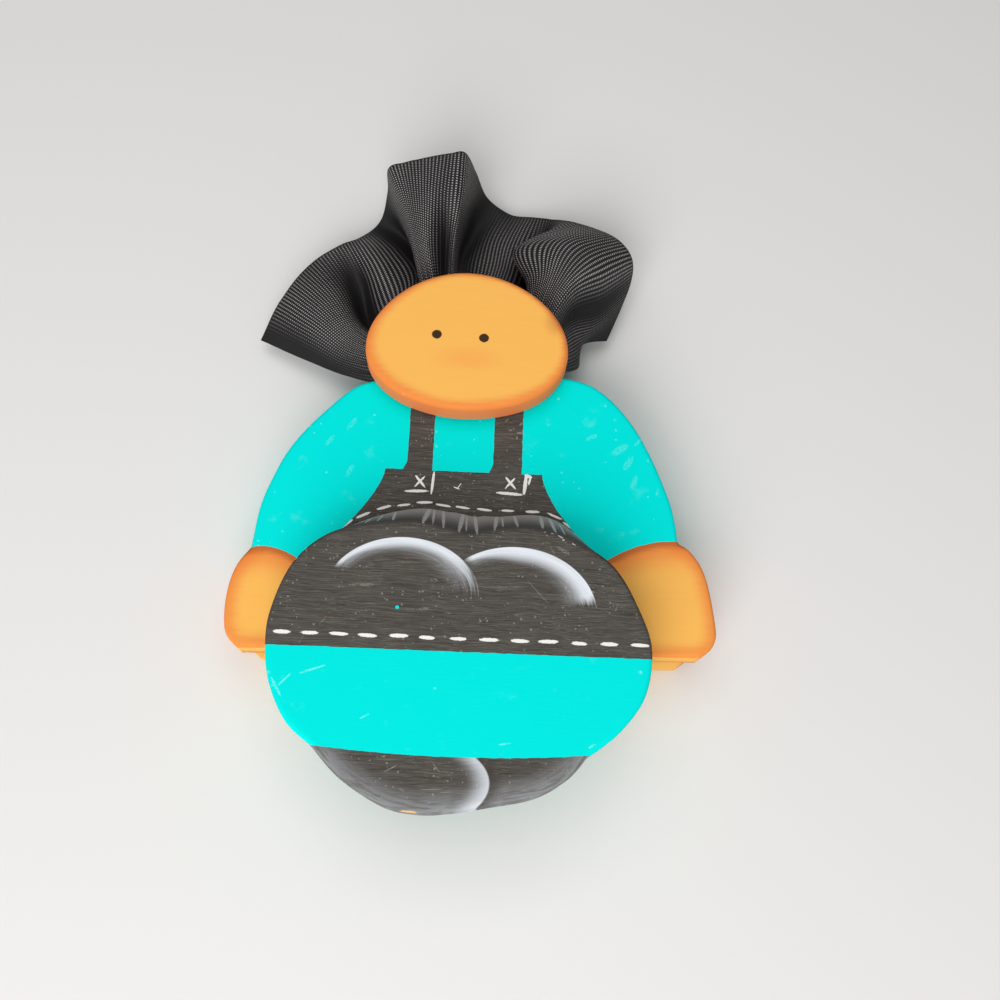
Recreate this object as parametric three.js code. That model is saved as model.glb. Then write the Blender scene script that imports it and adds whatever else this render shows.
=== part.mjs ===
// Painted wooden shelf figure with a ribbon bonnet, lying on its back.
// Millimetres. X runs to the viewer's right, Y from the shoes to the bonnet, Z out of the painted front.
// The back of the body board lies on Z = 0. Outlines are given from the figure's middle line and from its
// flat seat edge, and the whole figure is then moved down so that the origin is well inside the back.

import * as THREE from 'three';
import * as BufferGeometryUtils from 'three/addons/utils/BufferGeometryUtils.js';

// Board stock and the glue line between boards
const BODY_THICKNESS = 19.05;
const LAP_THICKNESS = 12.7;
const HEAD_THICKNESS = 6.35;
const GLUE_GAP = 0.3;
const SEAT_BELOW_ORIGIN = 30;

// Hand-sanded edges
const BOARD_EASE = 1.2;
const HEAD_EASE = 2.0;
const EASE_STEPS = 2;

// The lap board's top edge is planed back towards the body
const TOP_SLOPE = 8;
const SLOPE_HALF_WIDTH = 38;
const SLOPE_STARTS = 0;
const SLOPE_FULL = 18;

// Head, an oval that is a little wider below
const HEAD_X = -1.5;
const HEAD_Y = 70.1;
const HEAD_HALF_WIDTH = 22.8;
const HEAD_HALF_HEIGHT = 17.6;
const HEAD_WIDER_BELOW = 0.12;
const HEAD_POINTS = 56;

// Ribbon, gathered on an arc behind the head
const RIBBON_THICKNESS = 1.8;
const GATHER_HALF_WIDTH = 19.5;
const GATHER_HALF_HEIGHT = 15;
const GATHER_HEIGHT = 17.2;
const GATHER_FIRST = THREE.MathUtils.degToRad(188);
const GATHER_LAST = THREE.MathUtils.degToRad(-8);
const RIBBON_BULGE = 2.5;
const RIBBON_STEPS_ALONG = 84;
const RIBBON_STEPS_ACROSS = 9;

const FRONT_OF_BODY = BODY_THICKNESS + GLUE_GAP;

const orange = new THREE.MeshStandardMaterial({ color: 0xfcb65e, roughness: 0.55, metalness: 0 });
const turquoise = new THREE.MeshStandardMaterial({ color: 0x02e8df, roughness: 0.5, metalness: 0 });
const charcoal = new THREE.MeshStandardMaterial({ color: 0x524e4a, roughness: 0.6, metalness: 0 });
const black = new THREE.MeshStandardMaterial({ color: 0x2c2a2a, roughness: 0.8, metalness: 0 });

const points = (pairs) => pairs.map(([x, y]) => new THREE.Vector2(x, y));

// A flat board of the given outline, with its front and back edges rounded over
const easedBoard = (outline, thickness, ease, curveSegments) => {
  const board = new THREE.ExtrudeGeometry(outline, {
    depth: thickness - 2 * ease,
    steps: 1,
    bevelEnabled: true,
    bevelThickness: ease,
    bevelSize: ease,
    bevelOffset: -ease,
    bevelSegments: EASE_STEPS,
    curveSegments,
  });
  board.translate(0, 0, ease);
  return board;
};

const piece = (name, geometry, material) => {
  const mesh = new THREE.Mesh(geometry, material);
  mesh.name = name;
  return mesh;
};

// Body board: shoulders, sleeves and hands in one outline, cut flat at the seat
const bodyOutline = () => {
  const outline = new THREE.Shape();
  outline.moveTo(-46.5, 0);
  outline.lineTo(50.5, 0);
  // Right hand, from the seat up to the cuff
  outline.splineThru(points([[53.4, 2.6], [54.3, 7.5], [52.4, 18.5], [49.5, 23.9], [46.6, 25.9]]));
  // Over the right sleeve, the top that is hidden by the head, and down the left sleeve
  outline.splineThru(points([
    [44.6, 36.9], [37.8, 52.4], [30, 61.6], [22.2, 64.8], [10, 66], [-8, 65.8],
    [-22, 62.2], [-28.9, 58.3], [-39, 46.1], [-44.3, 33.5], [-45.9, 21],
  ]));
  // Left hand, from the cuff down to the seat
  outline.splineThru(points([[-48.7, 16.7], [-50, 10.8], [-49.4, 3.4], [-46.5, 0]]));
  return outline;
};

const bodyBoard = piece('body_board', easedBoard(bodyOutline(), BODY_THICKNESS, BOARD_EASE, 3), turquoise);

// Lap board: two knees at the top, the dress below them and the shoes at the bottom
const lapOutline = () => {
  const outline = new THREE.Shape();
  outline.moveTo(25.4, -21.6);
  // Up the right side, over both knees with the dip between them, and down the left side
  outline.splineThru(points([
    [31.4, -17], [36.3, -10.5], [38.1, -2.4], [36.8, 5], [31.4, 15.3], [25, 20], [18.2, 22.8],
    [11.2, 23.5], [5, 22.6], [1.4, 21.7], [-3.1, 22.7], [-10, 23.9], [-19.4, 23.1], [-28.3, 20.4],
    [-34.7, 13.8], [-37.8, 4.5], [-38, -2.6], [-36.4, -10], [-32.4, -17.2], [-27.3, -21.4],
  ]));
  // Shoes
  outline.splineThru(points([
    [-21.2, -27.3], [-13.5, -31.8], [-6, -33], [5.7, -31.9], [13.9, -30], [20.1, -26.4], [25.4, -21.6],
  ]));
  return outline;
};

const lapBoard = piece('lap_board', easedBoard(lapOutline(), LAP_THICKNESS, BOARD_EASE, 3), charcoal);

// How far the lap board's back face reaches past its front face at the top edge
const topSlopeAt = (x, y) => {
  const acrossWidth = Math.max(0, 1 - (x / SLOPE_HALF_WIDTH) ** 2);
  return TOP_SLOPE * acrossWidth * THREE.MathUtils.smoothstep(y, SLOPE_STARTS, SLOPE_FULL);
};

const lapVertices = lapBoard.geometry.attributes.position;
for (let i = 0; i < lapVertices.count; i += 1) {
  const x = lapVertices.getX(i);
  const y = lapVertices.getY(i);
  const towardsBack = 1 - lapVertices.getZ(i) / LAP_THICKNESS;
  lapVertices.setY(i, y + topSlopeAt(x, y) * towardsBack);
}
lapBoard.position.z = FRONT_OF_BODY;

// Head
const headOutline = () => {
  const rim = [];
  for (let i = 0; i < HEAD_POINTS; i += 1) {
    const angle = (2 * Math.PI * i) / HEAD_POINTS;
    const halfWidth = HEAD_HALF_WIDTH * (1 - HEAD_WIDER_BELOW * Math.sin(angle));
    rim.push(new THREE.Vector2(halfWidth * Math.cos(angle), HEAD_HALF_HEIGHT * Math.sin(angle)));
  }
  return new THREE.Shape(rim);
};

const head = piece('head', easedBoard(headOutline(), HEAD_THICKNESS, HEAD_EASE, 1), orange);
head.position.set(HEAD_X, HEAD_Y, FRONT_OF_BODY);

// Ribbon bonnet: the free edge from the left cut end over the tall middle fold to the right cut end
const freeEdge = new THREE.CatmullRomCurve3([
  new THREE.Vector3(-53, 79, 4),
  new THREE.Vector3(-48.5, 87.5, 8.5),
  new THREE.Vector3(-43, 98, 8.5),
  new THREE.Vector3(-35, 104.5, 10),
  new THREE.Vector3(-28.5, 111.5, 4.5),
  new THREE.Vector3(-24, 117, 9.5),
  new THREE.Vector3(-23.5, 119.5, 19),
  new THREE.Vector3(-19, 119.5, 23.5),
  new THREE.Vector3(-12, 120.5, 25),
  new THREE.Vector3(-5.5, 122, 24),
  new THREE.Vector3(-1.8, 123, 17),
  new THREE.Vector3(2.5, 121, 7.5),
  new THREE.Vector3(8.5, 118.5, 4.5),
  new THREE.Vector3(17.5, 115.5, 9),
  new THREE.Vector3(27, 109.5, 15.5),
  new THREE.Vector3(34.5, 103.5, 18),
  new THREE.Vector3(38.5, 97.5, 14),
  new THREE.Vector3(36.5, 91, 9),
  new THREE.Vector3(33, 83, 4),
]);

const gatherPoint = (along) => {
  const angle = THREE.MathUtils.lerp(GATHER_FIRST, GATHER_LAST, along);
  const x = HEAD_X + GATHER_HALF_WIDTH * Math.cos(angle);
  const y = HEAD_Y + GATHER_HALF_HEIGHT * Math.sin(angle);
  return new THREE.Vector3(x, y, GATHER_HEIGHT);
};

// The ribbon leaves the gather nearly level and then falls or rises to its free edge
const ribbonPoint = (along, across) => {
  const point = gatherPoint(along).lerp(freeEdge.getPoint(along), across);
  point.z += RIBBON_BULGE * Math.sin(Math.PI * across) * (1 - across);
  return point;
};

const ribbonSolid = () => {
  const ribbon = new THREE.BoxGeometry(1, 1, 1, RIBBON_STEPS_ALONG, RIBBON_STEPS_ACROSS, 1);
  const vertices = ribbon.attributes.position;
  for (let i = 0; i < vertices.count; i += 1) {
    const along = vertices.getX(i) + 0.5;
    const across = vertices.getY(i) + 0.5;
    const point = ribbonPoint(along, across);
    vertices.setXYZ(i, point.x, point.y, point.z + vertices.getZ(i) * RIBBON_THICKNESS);
  }
  ribbon.deleteAttribute('normal');
  ribbon.deleteAttribute('uv');
  const joined = BufferGeometryUtils.mergeVertices(ribbon);
  joined.computeVertexNormals();
  return joined;
};

const bonnetRibbon = piece('bonnet_ribbon', ribbonSolid(), black);

const figure = new THREE.Group();
figure.add(bodyBoard, lapBoard, head, bonnetRibbon);
figure.position.y = -SEAT_BELOW_ORIGIN;

const part = new THREE.Group();
part.add(figure);

export default part;
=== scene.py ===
"""A painted wooden basket sitter in a gathered ribbon bonnet, lying on its back.

The boards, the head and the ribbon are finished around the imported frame. Outlines are written in
millimetres, from the figure's middle line and from its flat seat edge, and the frame puts them in place.
"""

import functools
import math
import operator
import random

import bmesh
import bpy
from bpy.props import FloatProperty, FloatVectorProperty, PointerProperty
from bpy.types import Operator, Panel, PropertyGroup
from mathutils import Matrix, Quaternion, Vector, kdtree, noise


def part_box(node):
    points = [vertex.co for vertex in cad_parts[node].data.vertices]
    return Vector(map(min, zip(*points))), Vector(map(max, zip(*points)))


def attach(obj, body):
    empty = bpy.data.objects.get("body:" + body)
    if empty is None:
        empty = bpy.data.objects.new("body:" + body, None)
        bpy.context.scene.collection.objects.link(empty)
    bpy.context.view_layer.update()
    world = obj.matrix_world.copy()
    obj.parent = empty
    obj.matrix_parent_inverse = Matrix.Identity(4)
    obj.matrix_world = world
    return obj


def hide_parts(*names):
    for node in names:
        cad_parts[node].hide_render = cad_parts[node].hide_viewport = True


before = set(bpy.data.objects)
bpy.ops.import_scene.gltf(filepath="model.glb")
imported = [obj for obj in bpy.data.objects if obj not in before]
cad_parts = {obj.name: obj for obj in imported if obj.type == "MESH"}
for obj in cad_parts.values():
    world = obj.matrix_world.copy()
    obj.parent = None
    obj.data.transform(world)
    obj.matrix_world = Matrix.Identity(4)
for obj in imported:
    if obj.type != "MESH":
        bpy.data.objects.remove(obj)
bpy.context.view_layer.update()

bl_info = {
    "name": "Painted basket sitter",
    "version": (1, 0, 0),
    "blender": (4, 5, 0),
    "location": "3D View > Sidebar > Basket sitter",
    "description": "Builds a painted wooden basket sitter with a gathered ribbon bonnet",
    "category": "Add Mesh",
}

MM = 0.001

# Where the frame puts the pieces, and half the head's size in millimetres
BODY_LOW, BODY_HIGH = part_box("body_board")
LAP_LOW, LAP_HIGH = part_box("lap_board")
HEAD_LOW, HEAD_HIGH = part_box("head")
SEAT = BODY_LOW.y
HEAD_CENTRE = (HEAD_LOW + HEAD_HIGH) / 2
HEAD_HALF_SIZE = (HEAD_HIGH - HEAD_LOW) / 2 / MM

# Body board outline, in millimetres: the right hand, over both sleeves, and the left hand
RIGHT_HAND = [(50.5, 0), (53.4, 2.6), (54.3, 7.5), (52.4, 18.5), (49.5, 23.9), (46.6, 25.9)]
SLEEVES = [
    (46.6, 25.9), (44.6, 36.9), (37.8, 52.4), (30, 61.6), (22.2, 64.8), (10, 66), (-8, 65.8),
    (-22, 62.2), (-28.9, 58.3), (-39, 46.1), (-44.3, 33.5), (-45.9, 21),
]
LEFT_HAND = [(-45.9, 21), (-48.7, 16.7), (-50, 10.8), (-49.4, 3.4), (-46.5, 0)]

# Lap board outline, in millimetres: up the right side, over both knees and down, and the shoes
DRESS_AND_KNEES = [
    (25.4, -21.6), (31.4, -17), (36.3, -10.5), (38.1, -2.4), (36.8, 5), (31.4, 15.3), (25, 20),
    (18.2, 22.8), (11.2, 23.5), (5, 22.6), (1.4, 21.7), (-3.1, 22.7), (-10, 23.9), (-19.4, 23.1),
    (-28.3, 20.4), (-34.7, 13.8), (-37.8, 4.5), (-38, -2.6), (-36.4, -10), (-32.4, -17.2), (-27.3, -21.4),
]
SHOES = [
    (-27.3, -21.4), (-21.2, -27.3), (-13.5, -31.7), (-6.4, -32.9), (0, -32.4), (5.4, -31.4), (13.9, -29.7),
    (18.8, -27.8), (22.4, -25.3), (25.4, -21.6),
]

# The lap board's top edge is planed back, most of all in the middle
TOP_SLOPE = 8.0
SLOPE_HALF_WIDTH = 38.0
SLOPE_FULL_HEIGHT = 18.0

# Where the planer left more or less: middle, reach along the edge and amount, in millimetres
SLOPE_TRIMS = [(21.0, 8.0, 1.7), (8.5, 5.0, -0.7), (0.5, 4.0, 0.5)]

# Head, an oval that is a little wider below
HEAD_WIDER_BELOW = 0.12
HEAD_POINTS = 240

# Seat edge: it runs a little uphill to the right
SEAT_LEAN = 0.0165
SEAT_REACH = 9.0

# Below the front of the hands it steps in at the sides and upwards, more on the left, within this height
STEP_BELOW_FRONT = 6.0
STEP_HEIGHT = 0.5
STEP_IN = 0.042
STEP_IN_REACH = 1.6
STEP_UP = 0.35
STEP_UP_LEFT = 0.5
STEP_UP_LEFT_REACH = 50

# How finely outlines are drawn, in steps between two knots and in millimetres
CURVE_STEPS = 12
BOARD_RIM_PITCH = 0.8
HEAD_RIM_PITCH = 0.7
EDGE_DISTANCE_PITCH = 0.15
EDGE_SEGMENTS = 5

# How often the saw strays from its line, per millimetre
SAW_STRAYS = 0.12

# Ribbon mesh, and how many steps to each side count as beside a fold
ALONG_STEPS, ACROSS_STEPS = 480, 44
FOLD_REACH = 30

# Fine gathers along the ribbon's stitched edge: share of the width that they reach, height and flat pitch
GATHERS_REACH = 0.42
GATHERS_HEIGHT = 1.1
GATHERS_PITCH = 4.4

# The stitched edge is lifted against the back of the head and glued there: lift, the glue under it, and
# how far out it is pressed, where 1 is the head's outline
GLUED_LIFT = 1.4
GLUE_UNDER_RIBBON = 0.25
PRESSED_WITHIN = 1.03

# The cloth's slight unevenness: heights in millimetres, and how often they come per millimetre
CRINKLES = [(0.35, 0.11), (0.12, 0.35)]

# Lights, in metres: place and width
KEY_LIGHT = ((-0.14, -0.55, 0.5), 0.55)
FILL_LIGHT = ((-0.06, 0.16, 0.88), 0.7)
FLOOR_HALF_WIDTH = 3

# Brush marks in millimetres and degrees: middle x and y, half length, half width and turn
SHIRT_SCUFFS = [
    (-26.7, 50.7, 1.8, 0.5, 60), (-31.2, 46.5, 1.5, 0.45, 55), (-44.7, 31.6, 0.5, 0.3, 80),
    (32.8, 54.6, 0.4, 0.3, 40), (38.5, 49.9, 2.0, 0.35, 50), (33.9, 47.3, 2.2, 0.8, 35),
    (35.8, 44.2, 2.0, 0.7, 60), (37.0, 39.5, 1.8, 0.6, 70), (27.5, 50.0, 1.4, 0.5, 30),
    (-26.2, 39.5, 1.6, 0.5, 65), (42.2, 37.5, 0.9, 0.3, 75),
]
BIB_SPECKS = [
    (11.4, 52.5, 0.4, 0.18, 40), (11.3, 50.3, 0.8, 0.2, 0), (10.6, 49.1, 0.4, 0.18, 90),
    (9.1, 50.9, 0.4, 0.15, 20), (8.2, 53.3, 0.5, 0.14, 45), (-10.6, 46.1, 0.3, 0.12, 0),
    (-3.9, 38.9, 0.25, 0.12, 0), (1.4, 38.3, 0.25, 0.12, 0), (4.4, 33.9, 0.3, 0.12, 0),
    (-6.0, 34.5, 0.25, 0.12, 0), (19.5, 29.3, 1.6, 0.14, -32), (-0.8, 33.4, 0.2, 0.1, 0),
]
BIB_BARS = [
    (-11.2, 35.3, 2.45, 0.32, 3), (9.3, 35.6, 2.95, 0.34, -3), (-7.75, 37.4, 2.7, 0.28, 86),
    (12.75, 37.9, 2.5, 0.4, 84), (13.4, 39.9, 0.85, 0.38, -20), (13.7, 38.9, 1.0, 0.24, 78),
    (-2.4, 36.4, 0.75, 0.12, -20), (-1.8, 37.0, 0.7, 0.1, 58),
]
APRON_SCRATCHES = [
    (15.2, 10.1, 3.4, 0.1, -47), (8.0, 10.9, 4.6, 0.09, 2), (17.8, 19.3, 1.3, 0.12, -62),
    (-2.0, 11.4, 1.2, 0.1, 5), (-9.8, 5.6, 4.5, 0.09, 1), (-20.1, 10.2, 2.6, 0.3, 4),
    (-24.6, 9.6, 1.0, 0.2, 0), (-5.7, 11.8, 0.7, 0.35, 0), (-5.0, 14.8, 0.8, 0.14, 10),
    (-7.4, 5.8, 1.0, 0.3, 10), (31.0, 7.6, 0.8, 0.16, 70), (-27.2, 2.5, 0.9, 0.12, 50),
    (20.2, 19.0, 1.5, 0.4, -30), (-31.0, -1.3, 1.5, 0.07, 60), (-2.5, 5.1, 0.8, 0.14, 0),
    (11.0, 5.3, 0.4, 0.2, 0),
]
RED_MARKS = [(-11.4, 16.1, 0.45, 0.12, 20), (-12.2, 15.2, 0.25, 0.14, 60), (-26.6, 3.4, 0.22, 0.18, 0)]
TURQUOISE_DOT = (-12.7, 5.9, 0.34, 0.34)
SHOE_SCRATCHES = [
    (-11.9, -25.1, 1.3, 0.1, 28), (-3.3, -24.7, 1.0, 0.09, -48), (-4.0, -28.6, 2.0, 0.1, 3),
    (-13.7, -27.0, 0.2, 0.12, 0), (-1.2, -29.0, 1.2, 0.08, 4), (-9.5, -28.9, 0.6, 0.08, -20),
    (-13.4, -22.9, 0.5, 0.08, 20),
]
SHOE_CHIP = (-8.2, -33.1, 1.8, 0.62, -2)
DRESS_SCUFFS = [
    (-36.7, -7.9, 0.5, 0.25, 0), (-34.9, -10.6, 2.1, 0.24, -58), (-33.4, -9.2, 1.6, 0.18, 48),
    (-28.2, -7.0, 2.6, 0.2, 20), (-4.5, -9.8, 0.35, 0.2, 0), (35.6, -5.2, 0.4, 0.3, 80),
    (26.1, -19.6, 0.8, 0.2, 30), (9.5, -19.8, 1.2, 0.16, 10), (-17.5, -15.6, 1.0, 0.14, 30),
]
CORNER_CHIPS = [
    (17.9, 22.7, 0.28, 0.12, -10), (19.6, 22.0, 0.6, 0.2, -34), (20.2, 21.3, 0.25, 0.18, 0),
    (22.3, 20.5, 0.4, 0.12, -30), (16.4, 22.9, 0.22, 0.1, 0), (-33.6, 15.2, 0.4, 0.12, 52),
    (-31.9, 17.3, 0.35, 0.1, 48), (1.4, 21.3, 0.24, 0.1, 0),
]
HEAD_MARKS = [(-13.8, 54.6, 0.5, 0.28, 10), (-15.2, 55.6, 0.25, 0.2, 0), (-16.1, 54.0, 0.3, 0.25, 0)]

# The painted gathers on the planed edge, whose y runs from the front of the board to its back
GATHER_STROKES = [
    (-20.5, 6.0, 4.0, 0.28, 88), (-18.0, 6.0, 4.0, 0.25, 87), (-15.1, 6.3, 5.0, 0.34, 92),
    (-8.3, 6.3, 6.2, 0.5, 86.5), (-6.8, 6.4, 5.6, 0.26, 91.5), (-4.7, 6.3, 6.2, 0.34, 92.5),
    (-0.9, 6.3, 6.2, 0.44, 87), (0.2, 6.2, 5.0, 0.2, 90.5), (2.2, 6.3, 6.2, 0.36, 93),
    (6.4, 6.4, 6.0, 0.4, 87), (7.8, 6.2, 4.6, 0.2, 90), (10.6, 6.3, 5.4, 0.34, 92.5),
    (16.1, 6.3, 5.0, 0.4, 89), (18.4, 6.3, 5.6, 0.42, 92.5), (20.4, 6.0, 4.5, 0.25, 93),
]

# White dashes above the lap board, as middle x and y and turn, and the middles of those along the hem
BIB_ROW = [
    (-25.9, 27.0, 40), (-22.4, 29.2, 27), (-18.1, 31.1, 18), (-13.8, 31.9, 9), (-9.3, 32.7, 3),
    (-5.1, 32.2, -8), (-0.9, 31.9, -7), (3.9, 31.6, -6), (9.0, 31.6, 0), (14.5, 31.6, 1),
    (19.4, 30.8, -22), (22.6, 28.6, -34),
]
CROSSED_STITCHES = [(-10.5, 37.6), (9.5, 38.1)]
HEM_ROW = (-34.9, -29.5, -23.8, -18.1, -12.0, -6.5, -0.3, 5.7, 11.8, 17.4, 23.5, 29.5, 35.6)

# Lit knees: middle x and y, half width and height, first and last angle, solid rim, veil and fray
LEFT_KNEE = (-12.0, 8.2, 15.5, 12.3, 155, 4, 0.14, 0.56, 0.28)
RIGHT_KNEE = (10.6, 5.6, 16.6, 13.8, 131, 9, 0.165, 0.52, 0.07)

# Ovals on the face and the shoes, in millimetres: middle x and y, half width and half height
EYES = [(-8.5, 70.8, 1, 1), (2.2, 70.4, 1, 1)]
BLUSH = (-1.0, 65.0, 8.5, 3.4)
# A painted shadow that the ribbon's right loop casts on the head's edge
RIBBON_SHADOW_ON_HEAD = (18.6, 75.4, 3.2, 4.2)
LEFT_SHOE = (-5.2, -27.3, 12.0, 7.4)

# Ribbon, in millimetres: ribs across it from the gathered edge, behind the head, to the free edge.
# They run from the left cut end over the tall middle fold to the right cut end.
RIBS = [
    # Left wing, from the cut end to the crease beside it
    ((-22.3, 63, 14.2), (-31.5, 68.2, 8.3), (-43, 73.8, 5.6), (-53, 78.7, 4)),
    ((-22.3, 68.5, 16.8), (-30.5, 74, 11.5), (-40, 81, 11.5), (-48.3, 87.6, 8.5)),
    ((-21.5, 72, 17), (-28.5, 79.5, 11.5), (-35.5, 89, 11), (-42.7, 97.4, 8.5)),
    ((-20.5, 75, 16), (-26.3, 84.5, 5), (-29.7, 95, 6), (-35.5, 103.5, 9.5)),
    # Low fold and the valley beside it
    ((-18, 77.5, 16.8), (-20.5, 87, 15), (-25, 97.5, 12.5), (-30.6, 107.5, 7.3)),
    ((-14.8, 81.5, 16.3), (-13.5, 99.5, 7.5), (-18.8, 108.5, 5), (-26, 114.4, 5)),
    # Tall fold: left side, broad front, groove, narrow front and right side
    ((-12.8, 83.2, 16.6), (-15.6, 98.8, 13), (-19.6, 109.2, 12), (-23.7, 118.2, 12.5)),
    ((-12, 83.4, 17), (-15.6, 97.3, 18.3), (-18.6, 108.7, 20), (-22.9, 118.6, 21.3)),
    ((-10.8, 83.9, 17.2), (-14.3, 97.2, 19.8), (-16.5, 108.8, 22.3), (-18.5, 119, 23.5)),
    ((-9.4, 84.4, 17.4), (-11.7, 97.6, 20.2), (-12, 109.4, 23.4), (-11.9, 120.1, 24.9)),
    ((-8, 84.7, 16.2), (-8.2, 100, 14.5), (-8.4, 109.8, 22.4), (-7.8, 121.3, 24.8)),
    ((-6.6, 85, 17.2), (-6.2, 100.6, 18.2), (-4.8, 111, 22), (-4.4, 122.4, 23.8)),
    ((-5.2, 85.1, 16.8), (-5.2, 101, 13), (-3.3, 112.3, 14), (-1.8, 122.9, 16)),
    # Valley and the gently rising panel
    ((-3.2, 85.1, 15.8), (-4.3, 99.6, 9), (-2.2, 110.8, 6), (1.4, 121.6, 7.5)),
    ((0.8, 85, 16.8), (2.6, 97.5, 12), (4, 108.8, 7.5), (7.6, 118.9, 4.5)),
    ((5, 83.8, 16.8), (8, 96.5, 10), (10.1, 106.7, 8), (13.6, 117, 6.5)),
    # Right loop: it doubles back over the panel, rises to its ridge and falls to the cut end
    ((8.5, 82.5, 16.3), (14, 93.5, 5), (15.3, 105, 5), (18.4, 114.6, 9.5)),
    ((11, 81, 16.8), (12.2, 91, 15.5), (9, 101.5, 15), (23.6, 110.7, 14)),
    ((13.4, 79.5, 17.2), (16.1, 89.9, 20), (18.5, 99.8, 21), (29.6, 106.5, 17)),
    ((15, 78, 17.2), (19.1, 88.2, 20.5), (25, 97, 21.3), (34.4, 103, 18)),
    ((16, 76.5, 17.2), (22.3, 87.4, 20), (29.8, 92.4, 20.6), (37.5, 99, 17)),
    ((16.8, 74, 17), (23.2, 85.3, 12.5), (30.6, 89.8, 11), (38.2, 96.4, 11.5)),
    ((17.5, 71, 16.8), (23.5, 79.5, 12), (29.5, 84, 9), (36.3, 91, 7.5)),
    ((18.3, 66.5, 16.8), (25, 71.8, 9.8), (26.2, 79.8, 7.3), (33, 83.2, 4)),
]


def srgb(red, green, blue):
    """A screen colour of 0 to 255 as the linear colour that shaders take."""

    def linear(level):
        share = level / 255
        return share / 12.92 if share <= 0.04045 else ((share + 0.055) / 1.055) ** 2.4

    return linear(red), linear(green), linear(blue), 1.0


def colour(name, description, screen):
    return FloatVectorProperty(
        name=name, description=description, subtype="COLOR", size=4, min=0, max=1, default=srgb(*screen)
    )


def measure(name, description, default):
    return FloatProperty(
        name=name, description=description, default=default, min=0, unit="LENGTH", precision=5
    )


def number(name, description, default, unit="NONE"):
    return FloatProperty(name=name, description=description, default=default, unit=unit)


def place(name, description, default):
    return FloatVectorProperty(
        name=name, description=description, subtype="XYZ", unit="LENGTH", default=default
    )


class PaintColours(PropertyGroup):
    """The craft paints."""

    turquoise: colour("Turquoise", "Shirt, sleeves and dress", (0, 232, 225))
    scuff: colour("Scuff", "Rubbed places on the turquoise", (128, 246, 238))
    charcoal: colour("Charcoal", "Apron and shoes", (83, 79, 74))
    umber: colour("Umber", "Dark brushed streaks in the black paint", (62, 56, 51))
    chalk: colour("Chalk", "Rubbed streaks and specks on the black paint", (158, 154, 145))
    skin: colour("Skin", "Face and hands", (254, 190, 94))
    skin_rim: colour("Skin rim", "Floated shade round the face and hands", (240, 134, 66))
    skin_wall: colour("Skin wall", "Shade on the sawn edge of the head", (255, 138, 84))
    cuff_shade: colour("Cuff shade", "Brown shade where the hands leave the sleeves", (186, 100, 52))
    blush: colour("Blush", "Warm patch below the eyes", (252, 168, 84))
    eye: colour("Eye", "Eye dots", (66, 48, 32))
    white: colour("White", "Stitches", (247, 245, 240))
    highlight: colour("Highlight", "Dry-brushed light on the knees and shoes", (238, 243, 250))
    slate: colour("Slate", "Bluish shade floated round the shoes", (152, 154, 156))
    band_dark: colour("Waistband dark", "Planed edge beside the apron", (84, 79, 78))
    band_light: colour("Waistband light", "Planed edge beside the bib", (172, 166, 165))
    gather: colour("Gather", "Painted gathers on the planed edge", (226, 220, 218))
    bare_wood: colour("Bare wood", "Wood where the paint is gone", (236, 190, 122))


class BoardSizes(PropertyGroup):
    """How the boards are cut and sanded."""

    board_ease: measure("Board edge", "Radius of the sanded edge of the two boards", 0.001)
    head_ease: measure("Head edge", "Radius of the sanded edge of the head", 0.0013)
    mesh_pitch: measure("Mesh pitch", "Spacing of the cuts across a board's faces", 0.0014)
    saw_wobble: measure("Saw wobble", "How far the sawn edge strays from its line", 0.00012)


class RibbonSizes(PropertyGroup):
    """The ribbon, before and after it is gathered."""

    width: measure("Width", "Width of the ribbon", 0.038)
    length: measure("Length", "Length of the ribbon before it is gathered", 0.175)
    thickness: measure("Thickness", "Thickness of the woven ribbon", 0.0004)
    yarn_pitch: measure("Yarn pitch", "Spacing of the raised yarns along the ribbon", 0.00092)
    dot_pitch: measure("Dot pitch", "Spacing of the dots on a raised yarn", 0.00062)
    face: colour("Ribbon", "Dyed yarn", (26, 24, 25))
    # Painted sheen: the dots' light colour stands for light caught on the raised yarns
    dot: colour("Weave dot", "Light caught on the raised yarns", (186, 182, 181))


class StageSettings(PropertyGroup):
    """Camera, floor and lights."""

    camera_place: place("Camera place", "Where the camera stands", (0.0019, -0.0703, 0.2265))
    camera_aim: place("Camera aim", "Where the middle of the picture meets the floor", (0.00776, 0.01086, 0))
    camera_roll: number("Camera roll", "How far the camera is rolled", math.radians(6.385), "ROTATION")
    lens: number("Lens", "Focal length on a 36 mm sensor", 36, "CAMERA")
    floor: colour("Floor", "Plain pale floor", (232, 230, 228))
    key_power: number("Key light", "Power of the large soft light", 4.7, "POWER")
    fill_power: number("Fill light", "Power of the second light", 2.6, "POWER")
    sky: number("Sky", "Strength of the even light from all round", 0.24)


class BasketSitterSettings(PropertyGroup):
    """Everything that a user would change."""

    paints: PointerProperty(type=PaintColours)
    boards: PointerProperty(type=BoardSizes)
    ribbon: PointerProperty(type=RibbonSizes)
    stage: PointerProperty(type=StageSettings)


def curve_between(knots, index, share):
    """The point at this share of the way from one knot to the next, on a Catmull-Rom curve through all."""
    last = len(knots) - 1
    before = Vector(knots[max(index - 1, 0)])
    start, end = Vector(knots[index]), Vector(knots[index + 1])
    after = Vector(knots[min(index + 2, last)])
    leave, arrive = (end - before) / 2, (after - start) / 2
    square, cube = share * share, share**3
    return (
        (2 * cube - 3 * square + 1) * start
        + (cube - 2 * square + share) * leave
        + (3 * square - 2 * cube) * end
        + (cube - square) * arrive
    )


def spline(knots):
    """Points on the curve through the knots, without its last one."""
    return [
        curve_between(knots, index, step / CURVE_STEPS)
        for index in range(len(knots) - 1)
        for step in range(CURVE_STEPS)
    ]


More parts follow.
